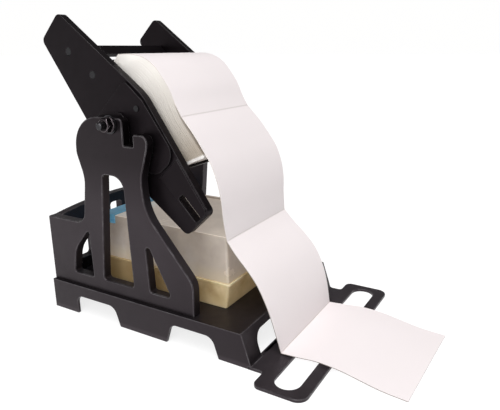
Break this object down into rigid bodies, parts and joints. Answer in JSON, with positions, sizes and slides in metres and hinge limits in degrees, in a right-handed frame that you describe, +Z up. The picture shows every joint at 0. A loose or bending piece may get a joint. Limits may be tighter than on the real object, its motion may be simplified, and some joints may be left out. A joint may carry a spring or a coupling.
{
  "type": "label dispenser stand",
  "caption": "Desk stand with a tilting cradle that feeds a fan-fold pack of labels over a slotted front flange, with a lidded storage box under the cradle.",
  "frame": {"origin": "on the table, under the middle of the whole assembly's bounding box", "axes": "+X across the stand to its right, +Y from the slotted front flange to the rear wall, +Z up"},
  "size_m": [0.1988, 0.332, 0.2632],
  "materials": {
    "black_moulding": "satin black moulding with a fine grain",
    "cheek_black": "near-black satin plate",
    "rest_plastic": "satin black",
    "collar_plastic": "satin black, polished by turning",
    "screw_steel": "dark zinc",
    "bolt_steel": "dark zinc",
    "nut_steel": "blackened steel",
    "label_paper": "smooth white label stock",
    "pack_paper": "beige edges of the folded liner",
    "amber_tray": "translucent amber moulding",
    "frosted_lid": "frosted translucent moulding",
    "blue_latch": "glossy blue"
  },
  "bodies": {
    "stand": {"base_shell": "black_moulding", "left_side_plate": "black_moulding", "right_side_plate": "black_moulding", "rear_wall": "black_moulding", "side_plate_screws": "screw_steel", "rear_wall_screws": "screw_steel", "washers": "bolt_steel", "label_web_hanging": "label_paper", "label_web_foot": "label_paper"},
    "cradle": {"left_cheek": "cheek_black", "right_cheek": "cheek_black", "left_pivot_plate": "cheek_black", "right_pivot_plate": "cheek_black", "left_pivot_plate_screw": "screw_steel", "right_pivot_plate_screw": "screw_steel", "left_spacer_collar": "collar_plastic", "right_spacer_collar": "collar_plastic", "left_pivot_bolt": "bolt_steel", "right_pivot_bolt": "bolt_steel", "label_rest": "rest_plastic", "cradle_crossbar": "rest_plastic", "cradle_screws": "screw_steel", "label_pack": "pack_paper", "label_web_top": "label_paper"},
    "left_nut": {"left_clamp_nut": "nut_steel"},
    "right_nut": {"right_clamp_nut": "nut_steel"},
    "storage_box": {"box_tray": "amber_tray", "box_lid": "frosted_lid", "latch_pin": "screw_steel"},
    "latch": {"box_latch": "blue_latch"}
  },
  "joints": [
    {"name": "cradle_tilt", "type": "hinge", "parent": "stand", "child": "cradle", "pos_m": [0, 0.0798, 0.1783], "axis": [1, 0, 0], "range_deg": [-46, 14], "deforming": ["label_web_hanging"]},
    {"name": "left_nut_turn", "type": "hinge", "parent": "cradle", "child": "left_nut", "pos_m": [-0.085, 0.0798, 0.1783], "axis": [1, 0, 0], "continuous": true},
    {"name": "right_nut_turn", "type": "hinge", "parent": "cradle", "child": "right_nut", "pos_m": [0.085, 0.0798, 0.1783], "axis": [1, 0, 0], "continuous": true},
    {"name": "box_slide", "type": "slide", "parent": "stand", "child": "storage_box", "axis": [0, -1, 0], "range_m": [0, 0.09], "deforming": ["label_web_hanging"]},
    {"name": "latch_turn", "type": "hinge", "parent": "storage_box", "child": "latch", "pos_m": [0, 0.1271, 0.0434], "axis": [1, 0, 0], "range_deg": [-34, 0]}
  ]
}
